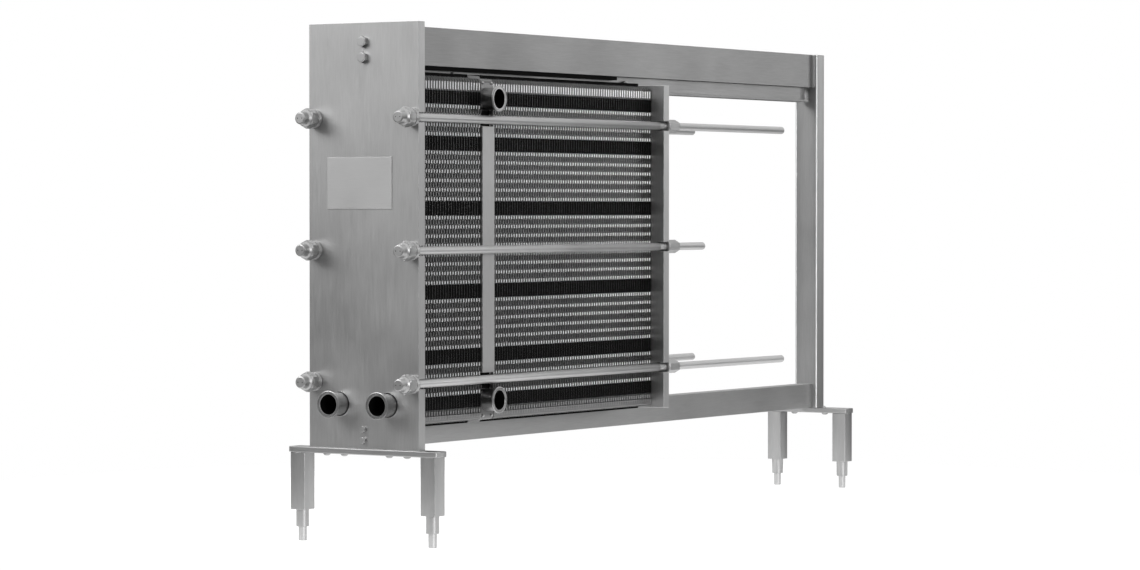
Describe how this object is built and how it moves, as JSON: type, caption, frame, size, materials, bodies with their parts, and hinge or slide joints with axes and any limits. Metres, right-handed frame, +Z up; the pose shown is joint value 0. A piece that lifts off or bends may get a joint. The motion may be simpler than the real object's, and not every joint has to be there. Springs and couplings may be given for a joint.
{
  "type": "plate heat exchanger",
  "caption": "Gasketed sanitary plate heat exchanger: plate packs clamped between a frame plate and a sliding pressure plate, hung on a carrying beam.",
  "frame": {"origin": "centre of the footprint, at floor level under the feet", "axes": "+X from the fixed frame plate to the end column, +Z up, -Y is the side with the seen corner ports"},
  "size_m": [2.2508, 0.426, 1.225],
  "materials": {
    "brushed_plate": "vertically brushed stainless steel plate, satin",
    "bar_steel": "lengthwise brushed stainless steel bar, satin",
    "fastener_steel": "turned stainless steel, semi-bright",
    "ferrule_steel": "polished sanitary stainless steel",
    "badge_steel": "thin satin badge plate, blank",
    "plate_pack": "pressed stainless plates edge-on between black gaskets"
  },
  "bodies": {
    "frame": {"frame_plate": "brushed_plate", "frame_port_near": "ferrule_steel", "frame_port_far": "ferrule_steel", "badge_plate": "badge_steel", "beam_bolt_1": "fastener_steel", "beam_bolt_2": "fastener_steel", "guide_bar_bolt_1": "fastener_steel", "guide_bar_bolt_2": "fastener_steel", "carrying_beam": "bar_steel", "beam_end_flange": "bar_steel", "hanger_rail": "bar_steel", "guide_bar": "bar_steel", "end_column": "bar_steel", "front_crossbar": "bar_steel", "rear_crossbar": "bar_steel", "leg_front_near": "bar_steel", "leg_front_far": "bar_steel", "leg_rear_near": "bar_steel", "leg_rear_far": "bar_steel"},
    "pressure_plate": {"pressure_plate": "brushed_plate", "pressure_port_near": "ferrule_steel", "pressure_port_far": "ferrule_steel", "pressure_plate_hanger": "bar_steel"},
    "connection_plate": {"connection_plate": "brushed_plate", "corner_port_top_near": "ferrule_steel", "corner_port_top_far": "ferrule_steel", "corner_port_bottom_near": "ferrule_steel", "corner_port_bottom_far": "ferrule_steel"},
    "plate_pack_1": {"plate_pack_1": "plate_pack"},
    "plate_pack_2": {"plate_pack_2": "plate_pack"},
    "plate_pack_3": {"plate_pack_3": "plate_pack"},
    "plate_pack_4": {"plate_pack_4": "plate_pack"},
    "plate_pack_5": {"plate_pack_5": "plate_pack"},
    "plate_pack_6": {"plate_pack_6": "plate_pack"},
    "plate_pack_7": {"plate_pack_7": "plate_pack"},
    "plate_pack_8": {"plate_pack_8": "plate_pack"},
    "hanger_roller_near": {"hanger_roller_near": "fastener_steel"},
    "hanger_roller_far": {"hanger_roller_far": "fastener_steel"},
    "tie_bolt_top_near": {"tie_bolt_top_near": "fastener_steel", "tie_washers_top_near": "fastener_steel"},
    "tie_nut_top_near": {"tie_nut_top_near": "fastener_steel"},
    "tie_bolt_middle_near": {"tie_bolt_middle_near": "fastener_steel", "tie_washers_middle_near": "fastener_steel"},
    "tie_nut_middle_near": {"tie_nut_middle_near": "fastener_steel"},
    "tie_bolt_bottom_near": {"tie_bolt_bottom_near": "fastener_steel", "tie_washers_bottom_near": "fastener_steel"},
    "tie_nut_bottom_near": {"tie_nut_bottom_near": "fastener_steel"},
    "tie_bolt_top_far": {"tie_bolt_top_far": "fastener_steel", "tie_washers_top_far": "fastener_steel"},
    "tie_nut_top_far": {"tie_nut_top_far": "fastener_steel"},
    "tie_bolt_middle_far": {"tie_bolt_middle_far": "fastener_steel", "tie_washers_middle_far": "fastener_steel"},
    "tie_nut_middle_far": {"tie_nut_middle_far": "fastener_steel"},
    "tie_bolt_bottom_far": {"tie_bolt_bottom_far": "fastener_steel", "tie_washers_bottom_far": "fastener_steel"},
    "tie_nut_bottom_far": {"tie_nut_bottom_far": "fastener_steel"},
    "foot_stem_front_near": {"foot_stem_front_near": "fastener_steel"},
    "foot_stem_front_far": {"foot_stem_front_far": "fastener_steel"},
    "foot_stem_rear_near": {"foot_stem_rear_near": "fastener_steel"},
    "foot_stem_rear_far": {"foot_stem_rear_far": "fastener_steel"}
  },
  "joints": [
    {"name": "pressure_plate_slide", "type": "slide", "parent": "frame", "child": "pressure_plate", "axis": [1, 0, 0], "range_m": [0, 0.13]},
    {"name": "connection_plate_slide", "type": "slide", "parent": "frame", "child": "connection_plate", "axis": [1, 0, 0], "range_m": [0, 0.0364]},
    {"name": "plate_pack_1_slide", "type": "slide", "parent": "frame", "child": "plate_pack_1", "axis": [1, 0, 0], "range_m": [0, 0.0137]},
    {"name": "plate_pack_2_slide", "type": "slide", "parent": "frame", "child": "plate_pack_2", "axis": [1, 0, 0], "range_m": [0, 0.0254]},
    {"name": "plate_pack_3_slide", "type": "slide", "parent": "frame", "child": "plate_pack_3", "axis": [1, 0, 0], "range_m": [0, 0.0507]},
    {"name": "plate_pack_4_slide", "type": "slide", "parent": "frame", "child": "plate_pack_4", "axis": [1, 0, 0], "range_m": [0, 0.0642]},
    {"name": "plate_pack_5_slide", "type": "slide", "parent": "frame", "child": "plate_pack_5", "axis": [1, 0, 0], "range_m": [0, 0.0778]},
    {"name": "plate_pack_6_slide", "type": "slide", "parent": "frame", "child": "plate_pack_6", "axis": [1, 0, 0], "range_m": [0, 0.0913]},
    {"name": "plate_pack_7_slide", "type": "slide", "parent": "frame", "child": "plate_pack_7", "axis": [1, 0, 0], "range_m": [0, 0.1049]},
    {"name": "plate_pack_8_slide", "type": "slide", "parent": "frame", "child": "plate_pack_8", "axis": [1, 0, 0], "range_m": [0, 0.1184]},
    {"name": "hanger_roller_near_spin", "type": "hinge", "parent": "pressure_plate", "child": "hanger_roller_near", "pos_m": [0.0842, -0.0115, 1.1093], "axis": [0, 1, 0], "range_deg": [0, 640]},
    {"name": "hanger_roller_far_spin", "type": "hinge", "parent": "pressure_plate", "child": "hanger_roller_far", "pos_m": [0.0842, 0.0115, 1.1093], "axis": [0, 1, 0], "range_deg": [0, 640]},
    {"name": "tie_bolt_top_near_lift_out", "type": "slide", "parent": "frame", "child": "tie_bolt_top_near", "axis": [0, -1, 0], "range_m": [0, 0.06]},
    {"name": "tie_nut_top_near_run", "type": "slide", "parent": "tie_bolt_top_near", "child": "tie_nut_top_near", "axis": [1, 0, 0], "range_m": [0, 0.13]},
    {"name": "tie_bolt_middle_near_lift_out", "type": "slide", "parent": "frame", "child": "tie_bolt_middle_near", "axis": [0, -1, 0], "range_m": [0, 0.06]},
    {"name": "tie_nut_middle_near_run", "type": "slide", "parent": "tie_bolt_middle_near", "child": "tie_nut_middle_near", "axis": [1, 0, 0], "range_m": [0, 0.13]},
    {"name": "tie_bolt_bottom_near_lift_out", "type": "slide", "parent": "frame", "child": "tie_bolt_bottom_near", "axis": [0, -1, 0], "range_m": [0, 0.06]},
    {"name": "tie_nut_bottom_near_run", "type": "slide", "parent": "tie_bolt_bottom_near", "child": "tie_nut_bottom_near", "axis": [1, 0, 0], "range_m": [0, 0.13]},
    {"name": "tie_bolt_top_far_lift_out", "type": "slide", "parent": "frame", "child": "tie_bolt_top_far", "axis": [0, 1, 0], "range_m": [0, 0.06]},
    {"name": "tie_nut_top_far_run", "type": "slide", "parent": "tie_bolt_top_far", "child": "tie_nut_top_far", "axis": [1, 0, 0], "range_m": [0, 0.13]},
    {"name": "tie_bolt_middle_far_lift_out", "type": "slide", "parent": "frame", "child": "tie_bolt_middle_far", "axis": [0, 1, 0], "range_m": [0, 0.06]},
    {"name": "tie_nut_middle_far_run", "type": "slide", "parent": "tie_bolt_middle_far", "child": "tie_nut_middle_far", "axis": [1, 0, 0], "range_m": [0, 0.13]},
    {"name": "tie_bolt_bottom_far_lift_out", "type": "slide", "parent": "frame", "child": "tie_bolt_bottom_far", "axis": [0, 1, 0], "range_m": [0, 0.06]},
    {"name": "tie_nut_bottom_far_run", "type": "slide", "parent": "tie_bolt_bottom_far", "child": "tie_nut_bottom_far", "axis": [1, 0, 0], "range_m": [0, 0.13]},
    {"name": "foot_stem_front_near_adjust", "type": "slide", "parent": "frame", "child": "foot_stem_front_near", "axis": [0, 0, -1], "range_m": [-0.02, 0.03]},
    {"name": "foot_stem_front_far_adjust", "type": "slide", "parent": "frame", "child": "foot_stem_front_far", "axis": [0, 0, -1], "range_m": [-0.02, 0.03]},
    {"name": "foot_stem_rear_near_adjust", "type": "slide", "parent": "frame", "child": "foot_stem_rear_near", "axis": [0, 0, -1], "range_m": [-0.02, 0.03]},
    {"name": "foot_stem_rear_far_adjust", "type": "slide", "parent": "frame", "child": "foot_stem_rear_far", "axis": [0, 0, -1], "range_m": [-0.02, 0.03]}
  ],
  "couplings": [
    {"joint": "connection_plate_slide", "follows": "pressure_plate_slide", "ratio": 0.27},
    {"joint": "plate_pack_1_slide", "follows": "pressure_plate_slide", "ratio": 0.09},
    {"joint": "plate_pack_2_slide", "follows": "pressure_plate_slide", "ratio": 0.18},
    {"joint": "plate_pack_3_slide", "follows": "pressure_plate_slide", "ratio": 0.37429},
    {"joint": "plate_pack_4_slide", "follows": "pressure_plate_slide", "ratio": 0.47857},
    {"joint": "plate_pack_5_slide", "follows": "pressure_plate_slide", "ratio": 0.58286},
    {"joint": "plate_pack_6_slide", "follows": "pressure_plate_slide", "ratio": 0.68714},
    {"joint": "plate_pack_7_slide", "follows": "pressure_plate_slide", "ratio": 0.79143},
    {"joint": "plate_pack_8_slide", "follows": "pressure_plate_slide", "ratio": 0.89571},
    {"joint": "hanger_roller_near_spin", "follows": "pressure_plate_slide", "rad_per_m": 83.333},
    {"joint": "hanger_roller_far_spin", "follows": "pressure_plate_slide", "rad_per_m": 83.333},
    {"joint": "tie_nut_top_near_run", "follows": "pressure_plate_slide", "ratio": 1},
    {"joint": "tie_nut_middle_near_run", "follows": "pressure_plate_slide", "ratio": 1},
    {"joint": "tie_nut_bottom_near_run", "follows": "pressure_plate_slide", "ratio": 1},
    {"joint": "tie_nut_top_far_run", "follows": "pressure_plate_slide", "ratio": 1},
    {"joint": "tie_nut_middle_far_run", "follows": "pressure_plate_slide", "ratio": 1},
    {"joint": "tie_nut_bottom_far_run", "follows": "pressure_plate_slide", "ratio": 1}
  ]
}
